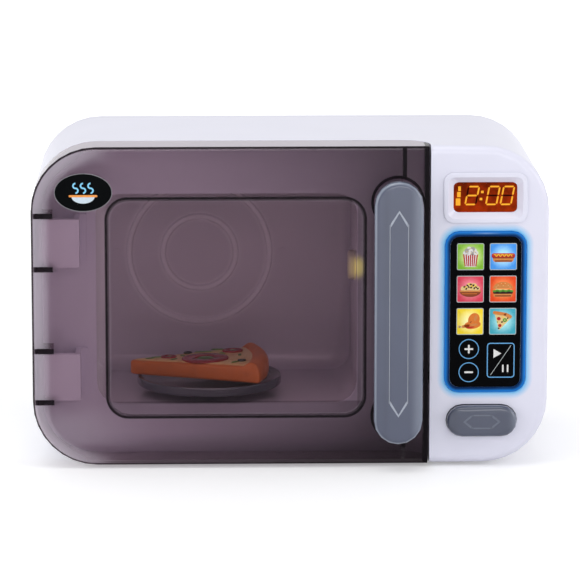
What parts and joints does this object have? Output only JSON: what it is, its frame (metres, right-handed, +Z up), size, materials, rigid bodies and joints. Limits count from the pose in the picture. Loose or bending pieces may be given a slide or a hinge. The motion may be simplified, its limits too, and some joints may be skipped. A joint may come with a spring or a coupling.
{
  "type": "toy microwave oven",
  "caption": "Toy microwave oven with a smoked see-through door on a left hinge, a bar handle, a geared turntable with a play pizza slice, a lit touch panel and a push button latch.",
  "frame": {"origin": "on the surface the feet stand on, at the middle of the whole object's length and depth", "axes": "+X to the right as seen from the front, along the length; -Y out of the front towards the user; +Z up"},
  "size_m": [0.29, 0.149, 0.1832],
  "materials": {
    "white_plastic": "satin, slightly lavender white",
    "smoked_plastic": "clear smoked, polished",
    "slate_plastic": "satin",
    "black_gloss": "gloss",
    "amber_window": "clear amber, polished",
    "blue_light_guide": "gloss",
    "lamp_yellow": "translucent",
    "board_green": "solder mask",
    "dark_plastic": "moulded",
    "plate_grey": "satin",
    "steel": "plated",
    "brass": "cut",
    "battery_wrap": "printed sleeve over a steel can",
    "grey_rubber": "moulded",
    "pizza_orange": "painted"
  },
  "bodies": {
    "case": {"body_shell": "white_plastic", "rear_cover": "white_plastic", "cover_screw_1": "steel", "cover_screw_2": "steel", "cover_screw_3": "steel", "cover_screw_4": "steel", "cover_screw_5": "steel", "cover_screw_6": "steel", "foot_1": "grey_rubber", "foot_2": "grey_rubber", "foot_3": "grey_rubber", "foot_4": "grey_rubber", "cavity_liner": "white_plastic", "lamp_lens": "lamp_yellow", "lamp_board": "board_green", "display_bezel": "white_plastic", "display_window": "amber_window", "display_module": "dark_plastic", "touch_panel": "black_gloss", "light_ring": "blue_light_guide", "circuit_board": "board_green", "latch_housing": "dark_plastic", "latch_spring": "steel", "speaker": "dark_plastic", "battery_box": "dark_plastic", "battery_1": "battery_wrap", "battery_2": "battery_wrap", "battery_3": "battery_wrap", "battery_contact_left": "steel", "battery_contact_right": "steel", "hinge_bracket_lower": "white_plastic", "hinge_bracket_upper": "white_plastic", "hinge_pin_lower": "steel", "hinge_pin_upper": "steel", "gear_frame": "white_plastic", "motor": "steel"},
    "door": {"door_shell": "smoked_plastic", "door_handle": "slate_plastic", "handle_screw_lower": "steel", "handle_screw_upper": "steel", "badge_plate": "black_gloss"},
    "button": {"open_button": "slate_plastic"},
    "latch": {"latch_slide": "dark_plastic"},
    "turntable": {"turntable_spindle": "white_plastic", "turntable_plate": "plate_grey"},
    "idler": {"idler_gear": "white_plastic"},
    "pinion": {"motor_pinion": "brass"},
    "pizza": {"pizza_slice": "pizza_orange"},
    "battery_hatch": {"battery_cover": "white_plastic", "battery_cover_screw": "steel"},
    "switch": {"power_switch": "black_gloss"}
  },
  "joints": [
    {"name": "door_hinge", "type": "hinge", "parent": "case", "child": "door", "pos_m": [-0.14, -0.053, 0.0926], "axis": [0, 0, -1], "range_deg": [0, 90]},
    {"name": "button_slide", "type": "slide", "parent": "case", "child": "button", "axis": [0, 1, 0], "range_m": [0, 0.003], "stiffness_N_per_m": 300, "springref_m": -0.002},
    {"name": "latch_shift", "type": "slide", "parent": "case", "child": "latch", "axis": [1, 0, 0], "range_m": [0, 0.003], "deforming": ["latch_spring"]},
    {"name": "turntable_spin", "type": "hinge", "parent": "case", "child": "turntable", "pos_m": [-0.0455, 0.0015, 0.032], "axis": [0, 0, 1], "continuous": true},
    {"name": "idler_spin", "type": "hinge", "parent": "case", "child": "idler", "pos_m": [-0.0205, 0.0015, 0.024], "axis": [0, 0, 1], "continuous": true},
    {"name": "pinion_spin", "type": "hinge", "parent": "case", "child": "pinion", "pos_m": [-0.002, 0.0015, 0.023], "axis": [0, 0, 1], "continuous": true},
    {"name": "pizza_lift", "type": "slide", "parent": "turntable", "child": "pizza", "axis": [0, 0, 1], "range_m": [0, 0.05]},
    {"name": "battery_hatch_slide", "type": "slide", "parent": "case", "child": "battery_hatch", "axis": [0, 1, 0], "range_m": [0, 0.02]},
    {"name": "switch_slide", "type": "slide", "parent": "case", "child": "switch", "axis": [1, 0, 0], "range_m": [0, 0.004]}
  ],
  "couplings": [
    {"joint": "latch_shift", "follows": "button_slide", "ratio": 1},
    {"joint": "idler_spin", "follows": "turntable_spin", "ratio": -4},
    {"joint": "pinion_spin", "follows": "turntable_spin", "ratio": 12.444}
  ]
}
